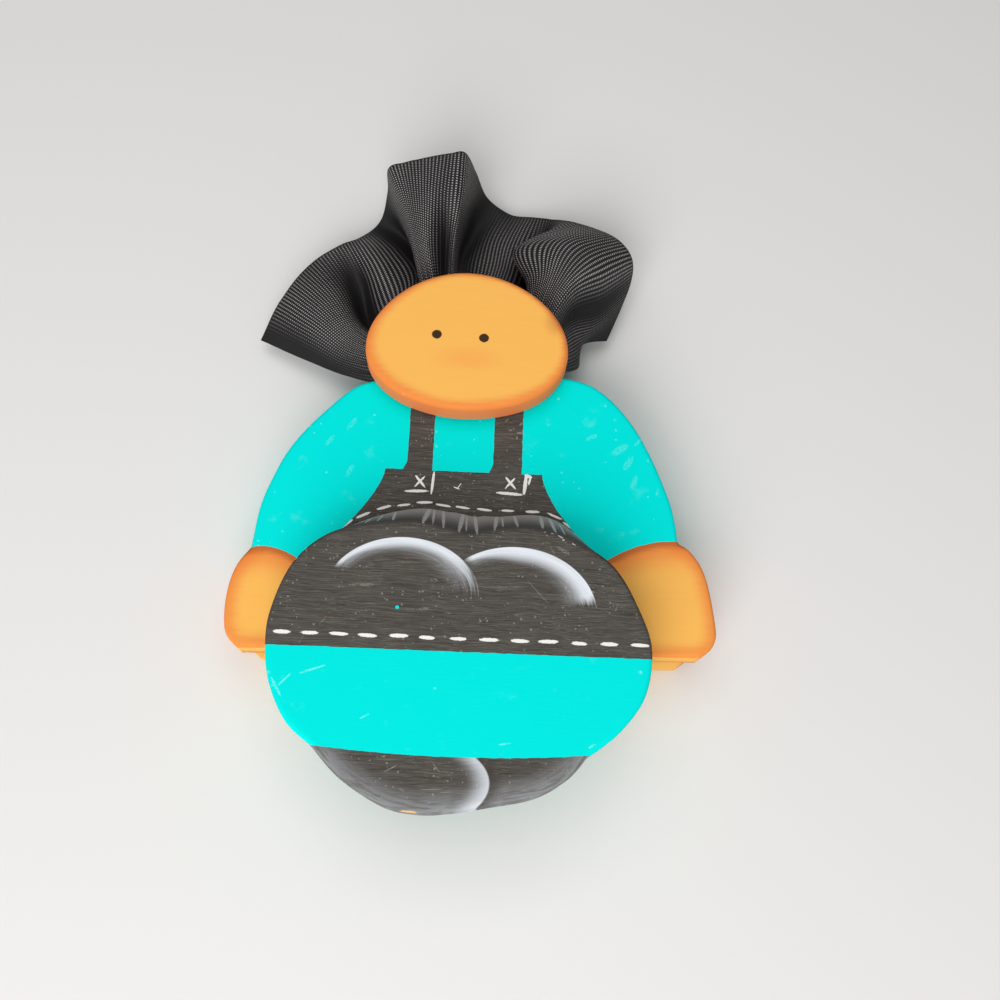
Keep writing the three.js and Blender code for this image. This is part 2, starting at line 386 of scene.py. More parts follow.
def spline_point(knots, share):
    """The point at this share of the way along the curve through the knots."""
    last = len(knots) - 1
    along = min(max(share, 0.0), 1.0) * last
    index = min(int(along), last - 1)
    return curve_between(knots, index, along - index)


def evenly(points, pitch):
    """The closed outline through these points, set out again at an even pitch."""
    closed = points + points[:1]
    lengths = [(b - a).length for a, b in zip(closed, closed[1:])]
    count = max(8, round(sum(lengths) / pitch))
    gap = sum(lengths) / count
    even = []
    segment, covered = 0, 0.0
    for index in range(count):
        wanted = index * gap
        while covered + lengths[segment] < wanted:
            covered += lengths[segment]
            segment += 1
        share = (wanted - covered) / lengths[segment]
        even.append(closed[segment].lerp(closed[segment + 1], share))
    return even


def wandering(points, wobble, seed):
    """The outline as a hand-held saw follows it, a little off its line."""
    moved = []
    for point in points:
        spot = Vector((point.x * SAW_STRAYS, point.y * SAW_STRAYS, seed))
        elsewhere = spot + Vector((7, 3, 1))
        moved.append(point + Vector((noise.noise(spot), noise.noise(elsewhere))) * wobble)
    return moved


def body_outline():
    return spline(RIGHT_HAND) + spline(SLEEVES) + spline(LEFT_HAND) + [Vector(LEFT_HAND[-1])]


def lap_outline():
    return spline(DRESS_AND_KNEES) + spline(SHOES)


def head_outline():
    points = []
    for index in range(HEAD_POINTS):
        angle = math.tau * index / HEAD_POINTS
        wide = HEAD_HALF_SIZE.x * (1 - HEAD_WIDER_BELOW * math.sin(angle)) / (1 + HEAD_WIDER_BELOW**2 / 2)
        points.append(Vector((wide * math.cos(angle), HEAD_HALF_SIZE.y * math.sin(angle))))
    return points


def top_slope_at(x, y):
    """How far the lap board's back reaches past its front here, in millimetres."""
    across = max(0.0, 1 - (x / SLOPE_HALF_WIDTH) ** 2)
    rise = min(max(y / SLOPE_FULL_HEIGHT, 0.0), 1.0)
    trims = sum(amount * math.exp(-(((x - middle) / reach) ** 2)) for middle, reach, amount in SLOPE_TRIMS)
    return (TOP_SLOPE * across + trims) * rise * rise * (3 - 2 * rise)


def cut_across(board, spot, direction):
    """Cuts every face where it crosses the plane through this spot."""
    everything = board.verts[:] + board.edges[:] + board.faces[:]
    bmesh.ops.bisect_plane(board, geom=everything, dist=1e-5, plane_co=spot, plane_no=direction)


def board_mesh(outline, thickness, ease, pitch):
    """A sawn board standing on z = 0: its edges are rounded over and its faces are cut into a fine grid."""
    board = bmesh.new()
    rim = [board.verts.new((point.x, point.y, 0)) for point in outline]
    back = board.faces.new(rim)
    grown = bmesh.ops.extrude_face_region(board, geom=[back])
    lifted = [item for item in grown["geom"] if isinstance(item, bmesh.types.BMVert)]
    bmesh.ops.translate(board, verts=lifted, vec=(0, 0, thickness))
    bmesh.ops.recalc_face_normals(board, faces=board.faces)
    level = [edge for edge in board.edges if abs(edge.verts[0].co.z - edge.verts[1].co.z) < 1e-6]
    bmesh.ops.bevel(
        board, geom=level, offset=ease, offset_type="OFFSET", segments=EDGE_SEGMENTS, profile=0.5,
        affect="EDGES", clamp_overlap=False, material=-1,
    )
    low = Vector((min(p.x for p in outline), min(p.y for p in outline)))
    high = Vector((max(p.x for p in outline), max(p.y for p in outline)))
    for axis in (0, 1):
        direction = Vector((0, 0, 0))
        direction[axis] = 1
        for cut in range(1, int((high[axis] - low[axis]) / pitch)):
            cut_across(board, direction * (low[axis] + cut * pitch), direction)
    return board


def mark_distance_from_edge(board, outline):
    """Keeps each point's distance from the sawn outline, for the paint that follows the edge."""
    fine = evenly(outline, EDGE_DISTANCE_PITCH)
    tree = kdtree.KDTree(len(fine))
    for index, point in enumerate(fine):
        tree.insert((point.x, point.y, 0), index)
    tree.balance()
    layer = board.verts.layers.float.new("from_edge")
    for vertex in board.verts:
        vertex[layer] = tree.find((vertex.co.x, vertex.co.y, 0))[2]


def sawn_board(outline, rim_pitch, seed, thickness, ease, sizes):
    """A board sawn along the outline by hand, with each point's distance from its edge."""
    sawn = wandering(evenly(outline, rim_pitch), sizes.saw_wobble / MM, seed)
    board = board_mesh(sawn, thickness, ease / MM, sizes.mesh_pitch / MM)
    mark_distance_from_edge(board, sawn)
    return board


def shape_seat(board, thickness):
    """Leans the seat edge, and sets it in below the front of the hands."""
    step = thickness - STEP_BELOW_FRONT
    for height in (step, step - STEP_HEIGHT):
        cut_across(board, (0, 0, height), (0, 0, 1))
    for vertex in board.verts:
        spot = vertex.co
        near_seat = max(0.0, 1 - spot.y / SEAT_REACH)
        below_step = spot.z < step - STEP_HEIGHT / 2
        spot.y += SEAT_LEAN * spot.x * near_seat
        if below_step:
            spot.x *= 1 - STEP_IN * min(1.0, max(0.0, STEP_IN_REACH - spot.y / SEAT_REACH))
            spot.y += near_seat * (STEP_UP + STEP_UP_LEFT * max(0.0, -spot.x / STEP_UP_LEFT_REACH))


def settle(mesh, spot):
    """Turns a bmesh of millimetres into metres and moves it to its spot."""
    bmesh.ops.scale(mesh, verts=mesh.verts, vec=(MM, MM, MM))
    bmesh.ops.translate(mesh, verts=mesh.verts, vec=spot)


def settle_board(board, spot):
    """Splits the faces that the cuts left with more than four corners, and puts the board in its place."""
    bmesh.ops.triangulate(board, faces=[face for face in board.faces if len(face.verts) > 4])
    settle(board, spot)


def finish_piece(name, board, material):
    """Turns the bmesh into a smooth object with its material, riding on the frame."""
    bmesh.ops.recalc_face_normals(board, faces=board.faces)
    mesh = bpy.data.meshes.new(name)
    board.to_mesh(mesh)
    board.free()
    for polygon in mesh.polygons:
        polygon.use_smooth = True
    mesh.materials.append(material)
    piece = bpy.data.objects.new(name, mesh)
    bpy.context.scene.collection.objects.link(piece)
    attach(piece, "root")
    return piece


def worked_out(operation):
    """An operator between two values that adds the maths node for it."""
    return lambda first, second: first.f.math(operation, first, second)


class Value:
    """What a node puts out. Written in a formula, values add the nodes that work the formula out."""

    def __init__(self, f, socket):
        self.f = f
        self.socket = socket

    __add__ = worked_out("ADD")
    __sub__ = worked_out("SUBTRACT")
    __mul__ = worked_out("MULTIPLY")
    __truediv__ = worked_out("DIVIDE")
    __pow__ = worked_out("POWER")

    # Of two masks: where both of them are, and where either is
    __and__ = worked_out("MINIMUM")
    __or__ = worked_out("MAXIMUM")

    def __rsub__(self, number):
        return self.f.math("SUBTRACT", number, self)

    def __abs__(self):
        return self.f.math("ABSOLUTE", self)

    def step(self, start, end):
        """0 at start and 1 at end, with a soft change between them."""
        inputs = (("Value", self), ("From Min", start), ("From Max", end))
        return self.f.run("ShaderNodeMapRange", inputs, "Result", interpolation_type="SMOOTHSTEP")


class Formula:
    """Writes shader nodes: each call adds a node and gives back what it puts out."""

    def __init__(self, tree):
        self.tree = tree

    def feed(self, socket, value):
        if isinstance(value, Value):
            self.tree.links.new(value.socket, socket)
        else:
            socket.default_value = value

    def node(self, kind, inputs=(), **settings):
        made = self.tree.nodes.new(kind)
        for name, value in settings.items():
            setattr(made, name, value)
        for socket, value in inputs:
            self.feed(made.inputs[socket], value)
        return made

    def run(self, kind, inputs=(), output=0, **settings):
        return Value(self, self.node(kind, inputs, **settings).outputs[output])

    def split(self, kind, inputs):
        """Every output of the new node."""
        return [Value(self, socket) for socket in self.node(kind, inputs).outputs]

    def math(self, operation, *values):
        return self.run("ShaderNodeMath", enumerate(values), operation=operation)

    def distance(self, dx, dy):
        return self.math("SQRT", dx * dx + dy * dy)

    def wave(self, angle):
        """A wave between 0 and 1."""
        return self.math("COSINE", angle) * 0.5 + 0.5

    def stretched(self, vector, factors):
        return self.run("ShaderNodeVectorMath", ((0, vector), (1, factors)), operation="MULTIPLY")

    def moved(self, vector, way):
        return self.run("ShaderNodeVectorMath", ((0, vector), (1, way)), operation="ADD")

    def joined(self, x, y):
        return self.run("ShaderNodeCombineXYZ", enumerate((x, y, 0.0)))

    def noise(self, vector, scale, detail=2.0, rough=0.5):
        inputs = (("Vector", vector), ("Scale", scale), ("Detail", detail), ("Roughness", rough))
        return self.run("ShaderNodeTexNoise", inputs, "Fac")

    def attribute(self, name):
        return self.run("ShaderNodeAttribute", output="Fac", attribute_name=name)

    def mix(self, amount, first, second):
        return self.run("ShaderNodeMix", ((0, amount), (6, first), (7, second)), 2, data_type="RGBA")

    def group(self, tree, **values):
        made = self.node("ShaderNodeGroup", node_tree=tree)
        for name, value in values.items():
            self.feed(made.inputs[name.replace("_", " ").capitalize()], value)
        return Value(self, made.outputs[0])

    def finish(self, shader, base_colour, height, relief):
        """Feeds the shader its colour and a faint relief, whose height is in metres."""
        self.feed(shader.inputs["Base Color"], base_colour)
        inputs = (("Height", height), ("Distance", relief), ("Strength", 0.6))
        self.feed(shader.inputs["Normal"], self.run("ShaderNodeBump", inputs, "Normal"))


def shared_group(name, output, **inputs):
    """A new node group: its formula, the values that it is given, and the socket that it ends in."""
    tree = bpy.data.node_groups.new(name, "ShaderNodeTree")
    f = Formula(tree)
    labels = [label.replace("_", " ").capitalize() for label in inputs]
    for label, default in zip(labels, inputs.values()):
        kind = "NodeSocketVector" if isinstance(default, tuple) else "NodeSocketFloat"
        tree.interface.new_socket(label, in_out="INPUT", socket_type=kind).default_value = default
    tree.interface.new_socket(output, in_out="OUTPUT", socket_type="NodeSocketFloat")
    entry = f.node("NodeGroupInput")
    given = [Value(f, entry.outputs[label]) for label in labels]
    return f, given, f.node("NodeGroupOutput").inputs[0]


def painted_dash_group():
    """One short brush stroke, fuller in the middle and pointed at its ends."""
    f, given, end = shared_group(
        "Painted dash", "Mask",
        x=0, y=0, ragged=0.5, centre_x=0, centre_y=0, half_length=1.6, half_width=0.4, turn=0,
    )
    x, y, ragged, centre_x, centre_y, half_length, half_width, turn = given
    dx, dy = x - centre_x, y - centre_y
    cosine, sine = f.math("COSINE", turn), f.math("SINE", turn)
    along = dx * cosine + dy * sine
    across = dy * cosine - dx * sine
    reach = abs(along / half_length) ** 2.6 + abs(across / half_width) ** 2.0
    f.feed(end, (reach + (ragged - 0.5) * 1.4).step(1.25, 0.8))
    return f.tree


def dry_brushed_arc_group():
    """A crescent of light paint: solid outside, a streaky veil inside, frayed where the brush lifts."""
    f, given, end = shared_group(
        "Dry brushed arc", "Mask",
        x=0, y=0, centre_x=0, centre_y=0, half_width=10, half_height=10, start=3, end=0,
        solid=0.1, veil=0.4, fray=0.2,
    )
    x, y, centre_x, centre_y, half_width, half_height, first, last, solid, veil, fray = given
    dx, dy = (x - centre_x) / half_width, (y - centre_y) / half_height
    radius, angle = f.distance(dx, dy), f.math("ARCTAN2", dy, dx)
    gone = (first - angle) / (first - last)
    inward = 1.0 - radius

    # Bristle marks run along the arc, and its inner side is ragged with them
    hairs = f.noise(f.joined(angle * 1.5, radius * 44.0), 1.0, 3.0, 0.6)
    bristles = hairs.step(0.4, 0.62)
    ragged = inward + (hairs - 0.5) * (gone * 0.09 + 0.03)
    rim = solid * (gone.step(0.0, 0.4) * 0.65 + 0.35)
    core = ragged.step(rim * 1.8, rim * 0.45) * (bristles * 0.12 + 0.88)
    haze = ragged.step(veil * (gone * 0.6 + 0.4), 0.0) ** 1.3
    haze = haze * (bristles * 0.55 + 0.4) * (gone * 0.4 + 0.6)

    lifted = (gone + (hairs - 0.5) * (fray * 1.6)).step(1.0, 0.98 - fray)
    f.feed(end, inward.step(-0.004, 0.01) * (core | haze) * (gone.step(0.0, 0.07) * lifted))
    return f.tree


def brush_grain_group():
    """Fine ridges that the brush leaves along the board's width."""
    f, (spot, fineness), end = shared_group("Brush grain", "Grain", vector=(0, 0, 0), fineness=1)
    drift = f.joined(0.0, f.noise(spot, 0.11) * 2.2)
    lanes = f.stretched(f.moved(spot, drift), (0.09, 3.1, 0.4))
    coarse = f.noise(lanes, fineness, 3.0, 0.62)
    fine = f.noise(lanes, fineness * 2.7)
    f.feed(end, coarse * 0.65 + fine * 0.35)
    return f.tree


def specks_group():
    """Small knocked-off flecks, bunched where the board has been rubbed."""
    f, given, end = shared_group("Specks", "Mask", vector=(0, 0, 0), scale=1, size=0.2, rarity=0.6)
    spot, scale, size, rarity = given
    shaken = f.run("ShaderNodeTexNoise", (("Vector", spot), ("Scale", 3.1), ("Detail", 2.0)), "Color")
    bent = f.run("ShaderNodeMix", ((0, 0.3), (4, spot), (5, shaken)), 1, data_type="VECTOR")
    away, cell, *_ = f.split("ShaderNodeTexVoronoi", (("Vector", bent), ("Scale", scale)))
    chance, variety, _ = f.split("ShaderNodeSeparateColor", ((0, cell),))
    rare = rarity - (f.noise(spot, 0.16, 3.0, 0.6) - 0.5) * 2.2
    radius = size * (variety + 0.4)
    f.feed(end, away.step(radius, radius * 0.6) * chance.step(rare, rare + 0.02))
    return f.tree


def edge_wear_group():
    """Paint rubbed off along the sanded corner of a board."""
    f, given, end = shared_group(
        "Edge wear", "Mask", vector=(0, 0, 0), from_edge=5, below_face=5, amount=0.5
    )
    spot, from_edge, below_face, amount = given
    near = f.distance(from_edge, below_face).step(0.9, 0.4)
    start = 0.86 - amount * 0.4
    f.feed(end, near * f.noise(spot, 0.7, 5.0, 0.7).step(start, start + 0.04))
    return f.tree


def black_paint_group(specks):
    """How far the brushed black paint is rubbed: streaks along the board and bunches of specks."""
    f, (spot, grain), end = shared_group("Black paint", "Rubbed", vector=(0, 0, 0), grain=0.5)
    scratched = f.noise(f.stretched(spot, (0.3, 4.2, 1.0)), 1.5, 3.0, 0.7).step(0.52, 0.76)
    worn_places = f.noise(spot, 0.12, 3.0).step(0.36, 0.66)
    streaks = scratched * (worn_places * 0.42 + 0.12)
    small = f.group(specks, vector=spot, scale=2.1, size=0.3, rarity=0.84)
    f.feed(end, streaks | grain.step(0.5, 0.7) * 0.3 | small * 0.6)
    return f.tree


class PaintBox:
    """The shared groups."""

    def __init__(self):
        self.dash = painted_dash_group()
        self.arc = dry_brushed_arc_group()
        self.grain = brush_grain_group()
        self.specks = specks_group()
        self.wear = edge_wear_group()
        self.black = black_paint_group(self.specks)


@functools.cache
def paint_box():
    """The shared groups, built once for the first material that asks for them."""
    return PaintBox()


def new_material(name, specular):
    """A material, its shader and the formula that writes its nodes."""
    material = bpy.data.materials.new(name)
    material.use_nodes = True
    shader = material.node_tree.nodes["Principled BSDF"]
    shader.inputs["Specular IOR Level"].default_value = specular
    return material, shader, Formula(material.node_tree)


class BoardPaint:
    """A paint material in the making: places in millimetres from the middle line and the seat."""

    def __init__(self, name, roughness, specular, front):
        self.box = paint_box()
        self.material, self.shader, self.f = new_material(name, specular)
        self.shader.inputs["Roughness"].default_value = roughness
        f = self.f
        scaled = f.stretched(f.run("ShaderNodeTexCoord", output="Object"), (1 / MM, 1 / MM, 1 / MM))
        self.spot = f.moved(scaled, (0, -SEAT / MM, 0))
        self.x, self.y, self.z = f.split("ShaderNodeSeparateXYZ", ((0, self.spot),))
        self.below_front = front / MM - self.z
        self.from_edge = f.attribute("from_edge")
        self.ragged = f.noise(self.spot, 2.6, 3.0)
        self.grain = f.group(self.box.grain, vector=self.spot, fineness=1.5)

    def wavering(self, value, amount):
        """A painted line's place, moved a little by an unsteady hand."""
        return value + (self.f.noise(self.spot, 0.6) - 0.5) * amount

    def on_front(self, start=0.75, end=0.45):
        """The face of the board, down to the turn of its sanded edge."""
        return self.below_front.step(start, end)

    def oval(self, middle_x, middle_y, half_width, half_height):
        """How far out from the middle of an oval a place is: 1 on its outline."""
        return self.f.distance((self.x - middle_x) / half_width, (self.y - middle_y) / half_height)

    def dash(self, x, y, half_length, half_width, turn=0.0, at=None):
        across, along = at or (self.x, self.y)
        return self.f.group(
            self.box.dash, x=across, y=along, ragged=self.ragged, centre_x=x, centre_y=y,
            half_length=half_length, half_width=half_width, turn=math.radians(turn),
        )

    def dashes(self, rows, at=None):
        """All the strokes of a list of brush marks, as one mask."""
        return functools.reduce(operator.or_, [self.dash(*row, at=at) for row in rows])

    def arc(self, x, y, half_width, half_height, first, last, solid, veil, fray):
        return self.f.group(
            self.box.arc, x=self.x, y=self.y, centre_x=x, centre_y=y, half_width=half_width,
            half_height=half_height, start=math.radians(first), end=math.radians(last), solid=solid,
            veil=veil, fray=fray,
        )

    def clouds(self, scale):
        """Large pale places where the turquoise is rubbed thin."""
        return self.f.noise(self.spot, scale, 4.0, 0.62).step(0.6, 0.85)

    def worn(self, amount):
        """Wear along the sanded corner."""
        return self.f.group(
            self.box.wear, vector=self.spot, from_edge=self.from_edge, below_face=self.below_front,
            amount=amount,
        )

    def black(self, paints):
        """Brushed black paint with its rubbed streaks and specks."""
        f = self.f
        base = f.mix(self.grain.step(0.52, 0.36) * 0.85, paints.charcoal, paints.umber)
        return f.mix(f.group(self.box.black, vector=self.spot, grain=self.grain), base, paints.chalk)

    def skin(self, paints, rim_reach, rim_strength=0.9):
        """Warm skin paint with a darker shade floated round its edge."""
        f = self.f
        streaks = f.noise(f.stretched(self.spot, (0.1, 1.5, 0.4)), 1.0, 3.0, 0.6)
        softly = self.from_edge + (streaks - 0.5) * 1.6
        lit = f.mix(streaks.step(0.42, 0.75) * 0.14, paints.skin, paints.blush)
        return f.mix(softly.step(rim_reach, 0.3) ** 1.3 * rim_strength, lit, paints.skin_rim)

    def finish(self, base_colour, relief):
        self.f.finish(self.shader, base_colour, self.grain, relief)
        return self.material


def bib_strokes():
    """The white marks on the bib: dashes above the lap board, and crossed stitches with their bars."""
    chance = random.Random(5)
    strokes = []
    for x, y, turn in BIB_ROW:
        half_length = 1.4 + 0.35 * chance.random()
        strokes.append((x, y, half_length, 0.24 + 0.06 * chance.random(), turn))
    for x, y in CROSSED_STITCHES:
        strokes += [(x, y, 1.8, 0.28, -50), (x - 0.1, y, 1.65, 0.22, 50)]
    return strokes + BIB_BARS


def hem_strokes():
    """The white dashes along the hem."""
    chance = random.Random(11)
    strokes = []
    for x in HEM_ROW:
        lift = 0.2 * (chance.random() - 0.5)
        half_length = 1.65 + 0.4 * (chance.random() - 0.4)
        half_width = 0.34 + 0.05 * chance.random()
        strokes.append((x, 0.1 + lift, half_length, half_width, 5 * (chance.random() - 0.5)))
    return strokes


def bib_and_straps(paint, x, y):
    """The black of the bib and its suspenders, as a mask."""
    # Suspenders, a little wider where they meet the bib
    widened = x + y.step(43.5, 40.2) ** 2.0 * 0.8
    left_strap = widened.step(-13.75, -13.6) & x.step(-7.95, -8.1)
    right_strap = widened.step(5.4, 5.55) & x.step(12.0, 11.85)
    straps = (left_strap | right_strap) * y.step(39.5, 39.9)

    # Bib: straight across the top and flaring towards the lap board
    half_width = (40.3 - y | 0.0) ** 1.5 * 0.153 + 17.4
    bib = (half_width - abs(x + 1.0)).step(-0.1, 0.1) * y.step(40.4, 40.25)
    return (straps | bib * y.step(19.0, 19.4)) * paint.on_front()


def depth_below_cuffs(x, y):
    """How far the hands lie below the cuffs, whose lines sag away from their middles."""
    left_cuff = 21.2 - abs(x + 43.0) ** 2.0 * 0.045
    right_cuff = 26.2 - abs(x - 46.0) ** 2.0 * 0.022
    right_side = x.step(-0.5, 0.5)
    return left_cuff * (1.0 - right_side) + right_cuff * right_side - y


def hand_paint(paint, paints, below_cuff):
    """Orange floated from the cuff and the rim, and a darker line across the seat edge."""
    f = paint.f
    softly = below_cuff + (paint.grain - 0.5) * 2.4
    hand = f.mix(softly.step(8.5, 0.6) ** 1.2 * 0.85, paint.skin(paints, 4.6, 0.8), paints.skin_rim)
    shade = softly.step(2.3, 0.5) * paint.on_front(1.6, 0.4)
    hand = f.mix(shade * 0.8, hand, paints.cuff_shade)
    deep = paint.below_front
    line = deep.step(4.0, 5.6) * deep.step(7.6, 6.4)
    wall = f.mix(line * 0.75, paints.skin, paints.skin_rim)
    return f.mix(paint.y.step(2.2, 1.2) * deep.step(0.6, 1.4), hand, wall)


def body_material(paints):
    """Turquoise shirt, black bib and suspenders with white stitches, and orange hands."""
    paint = BoardPaint("body_paint", 0.62, 0.03, BODY_HIGH.z)
    f = paint.f
    x, y = paint.wavering(paint.x, 0.4), paint.wavering(paint.y, 0.4)
    black = bib_and_straps(paint, x, y)
    below_cuff = depth_below_cuffs(x, y)
    hands = below_cuff.step(-0.06, 0.06)

    # Shirt, rubbed here and there
    flecks = f.group(paint.box.specks, vector=paint.spot, scale=1.2, size=0.2, rarity=0.93)
    rubs = paint.dashes(SHIRT_SCUFFS) * paint.ragged.step(0.36, 0.6)
    light = paint.clouds(0.2) * 0.3 | flecks * 0.55 | rubs * 0.34
    shirt = f.mix(light * paint.on_front(2.0, 0.6), paints.turquoise, paints.scuff)
    painted = f.mix(hands, shirt, hand_paint(paint, paints, below_cuff))

    # Bib, straps and their white stitches, and the wear along the corner
    painted = f.mix(black, painted, paint.black(paints))
    painted = f.mix(paint.dashes(BIB_SPECKS) * (paint.on_front() * 0.6), painted, paints.chalk)
    painted = f.mix(paint.dashes(bib_strokes()) * (black * 0.96), painted, paints.white)
    painted = f.mix(paint.worn(0.45) * 0.6 * (1.0 - hands), painted, paints.scuff)
    return paint.finish(painted, 0.00006)


def apron_paint(paint, paints, black):
    """Black with rubs, scratches and dry-brushed knees."""
    f = paint.f
    rubs = paint.dashes(APRON_SCRATCHES) * paint.ragged.step(0.34, 0.6)
    apron = f.mix(rubs * 0.42, black, paints.chalk)
    lit = (paint.arc(*LEFT_KNEE) | paint.arc(*RIGHT_KNEE)) * paint.on_front()
    apron = f.mix(lit * 0.96, apron, paints.highlight)
    apron = f.mix(paint.dash(*TURQUOISE_DOT), apron, paints.turquoise)
    return f.mix(paint.dashes(RED_MARKS) * 0.32, apron, paints.cuff_shade)


def shoe_paint(paint, paints, black):
    """Slate floated round the shoes, and a crescent where the left shoe laps over the right one."""
    f = paint.f
    around = f.math("ARCTAN2", paint.y + 8.0, paint.x)
    hairs = f.noise(f.joined(around * 5.0, paint.from_edge * 1.9), 1.0, 3.0, 0.6)
    softly = paint.from_edge + (hairs - 0.5) * 3.2
    rim = softly.step(5.4, 0.8) * (hairs.step(0.36, 0.62) * 0.5 + 0.4)
    shoe = f.mix(rim * 0.85, black, paints.slate)

    middle_x, _, half_width, _ = LEFT_SHOE
    turning = ((paint.x - middle_x) / half_width).step(0.15, 0.8)
    inside = 1.0 - paint.oval(*LEFT_SHOE)
    crisp = inside.step(-0.012, 0.02)
    shade = inside.step(-0.28, -0.03) * (1.0 - crisp)
    shoe = f.mix(shade * turning * 0.55, shoe, paints.umber)
    glow = (inside + (hairs - 0.5) * 0.08).step(0.46, 0.0) ** 1.7 * crisp
    shoe = f.mix(glow * turning * 0.66, shoe, paints.highlight)
    return f.mix(paint.dashes(SHOE_SCRATCHES) * 0.5, shoe, paints.chalk)


def planed_edge_paint(paint, paints):
    """Grey that pales towards the bib, with painted gathers, and dark at the board's sides."""
    f = paint.f
    paler = (paint.below_front + (paint.grain - 0.5) * 3.0).step(0.5, 12.0) ** 1.2
    band = f.mix(paler, paints.band_dark, paints.band_light)
    strokes = paint.dashes(GATHER_STROKES, at=(paint.x, paint.below_front))
    band = f.mix(strokes * (paint.ragged.step(0.3, 0.6) * 0.35 + 0.25), band, paints.gather)
    return f.mix(abs(paint.x + 1.0).step(26.0, 31.0), band, paints.umber)


def lap_material(paints):
    """Black apron with lit knees and a dashed hem, turquoise dress, black shoes and the planed grey edge."""
    paint = BoardPaint("lap_paint", 0.6, 0.03, LAP_HIGH.z)
    f = paint.f
    x, y = paint.wavering(paint.x, 0.3), paint.wavering(paint.y, 0.3)
    black = paint.black(paints)
    above_hem = y.step(-2.6, -2.45)
    painted = f.mix(above_hem, shoe_paint(paint, paints, black), apron_paint(paint, paints, black))

    # Dress between the apron's hem and the shoes, and the hem stitches
    dress_end = abs(x + 0.5) ** 2.0 * 0.0018 - 22.6
    dress = (y - dress_end).step(-0.08, 0.08) * (1.0 - above_hem)
    rubs = paint.dashes(DRESS_SCUFFS) * paint.ragged.step(0.34, 0.58)
    cloth = f.mix(paint.clouds(0.25) * 0.25 | rubs * 0.75, paints.turquoise, paints.scuff)
    painted = f.mix(dress, painted, cloth)
    painted = f.mix(paint.dashes(hem_strokes()) * (paint.on_front() * 0.96), painted, paints.white)

    # Planed top edge, wear along the front corner, chips at the waist and bare wood below the left shoe
    edge = paint.below_front.step(0.15, 0.4) * paint.y.step(8.0, 12.0)
    painted = f.mix(edge, painted, planed_edge_paint(paint, paints))
    painted = f.mix(paint.worn(0.5) * 0.7, painted, paints.gather)
    painted = f.mix(paint.dashes(CORNER_CHIPS) * 0.6, painted, paints.gather)
    chip_end = (paint.below_front + (paint.ragged - 0.5) * 4.0).step(3.0, 2.2)
    chip = paint.dash(*SHOE_CHIP) * (paint.below_front.step(0.25, 0.5) * chip_end)
    painted = f.mix(chip, painted, paints.bare_wood)
    return paint.finish(painted, 0.00009)


def head_material(paints):
    """Warm skin with a floated rim, two eye dots, a faint blush and a painted shadow of the ribbon on its
    edge.
    """
    paint = BoardPaint("head_paint", 0.5, 0.06, HEAD_HIGH.z)
    f = paint.f
    wider_rim = paint.y.step(74.0, 54.0) * 1.2 + paint.x.step(-6.0, -22.0) * 1.2
    skin = paint.skin(paints, wider_rim + 2.4)
    painted = f.mix(paint.below_front.step(0.9, 1.9), skin, paints.skin_wall)
    painted = f.mix(paint.oval(*BLUSH).step(1.25, 0.0) * 0.55, painted, paints.blush)
    # Painted shadow of the ribbon's right loop on the head's upper right edge
    painted = f.mix(paint.oval(*RIBBON_SHADOW_ON_HEAD).step(1.2, 0.1) * 0.42, painted, paints.cuff_shade)
    front = paint.on_front(0.6, 0.3)
    painted = f.mix(paint.dashes(HEAD_MARKS) * (front * 0.5), painted, paints.white)
    for eye in EYES:
        away = paint.oval(*eye) + (paint.ragged - 0.5) * 0.35
        painted = f.mix(away.step(1.22, 1.02) * front, painted, paints.eye)
    return paint.finish(painted, 0.00004)


def ribbon_material(settings):
    """Black ribbon with rows of raised yarn whose dots carry a painted sheen, dimmed by painted shade in the
    folds.
    """
    material, shader, f = new_material("ribbon_weave", 0.3)
    strip = f.run("ShaderNodeUVMap", uv_map="strip")
    along, across, _ = f.split("ShaderNodeSeparateXYZ", ((0, strip),))
    column = along * (math.tau / (settings.yarn_pitch / MM))
    row = across * (math.tau / (settings.dot_pitch / MM)) + column * 0.5
    raised = f.wave(column) * f.wave(row)
    sheen_dots = (raised + (f.noise(strip, 0.9, 3.0) - 0.5) * 0.3).step(0.4, 0.85)
    width = settings.width / MM
    selvage = across.step(width - 0.9, width - 0.5)
    # Fewer dots along the selvage; deep in a fold the dots are dimmed, a painted shade
    sheen_dots = sheen_dots * (1.0 - selvage * 0.75) * f.attribute("in_fold").step(2.6, -1.8)
    f.feed(shader.inputs["Roughness"], 0.62 - sheen_dots * 0.2)
    # The dots take the light sheen colour: a painted sheen on the raised yarns
    f.finish(shader, f.mix(sheen_dots, settings.face, settings.dot), raised, 0.0001)
    return material


def running_lengths(points):
    """How far along the line each of its points lies."""
    lengths = [0.0]
    for start, end in zip(points, points[1:]):
        lengths.append(lengths[-1] + (end - start).length)
    return lengths


def gathers(flat, across):
    """How far the fine gathers lift the ribbon near the stitching, in millimetres."""
    fading = max(0.0, 1 - across / GATHERS_REACH)
    drift = 2.6 * noise.noise(Vector((flat * 0.09, 4.2, 0)))
    swell = 0.75 + 0.5 * noise.noise(Vector((flat * 0.3, 9.1, 0)))
    wave = GATHERS_HEIGHT * swell * math.sin(math.tau * flat / GATHERS_PITCH + drift)
    return fading * fading * (wave + GLUED_LIFT)


def crinkle(point):
    """A slight unevenness of the cloth, in millimetres."""
    return sum(height * noise.noise(point * often) for height, often in CRINKLES)


def pressed(point):
    """The point, kept off the back of the head where the ribbon lies behind it."""
    from_middle_x = (point.x - HEAD_CENTRE.x / MM) / HEAD_HALF_SIZE.x
    from_middle_y = (point.y - (HEAD_CENTRE.y - SEAT) / MM) / HEAD_HALF_SIZE.y
    if math.hypot(from_middle_x, from_middle_y) < PRESSED_WITHIN:
        point.z = min(point.z, HEAD_LOW.z / MM - GLUE_UNDER_RIBBON)
    return point


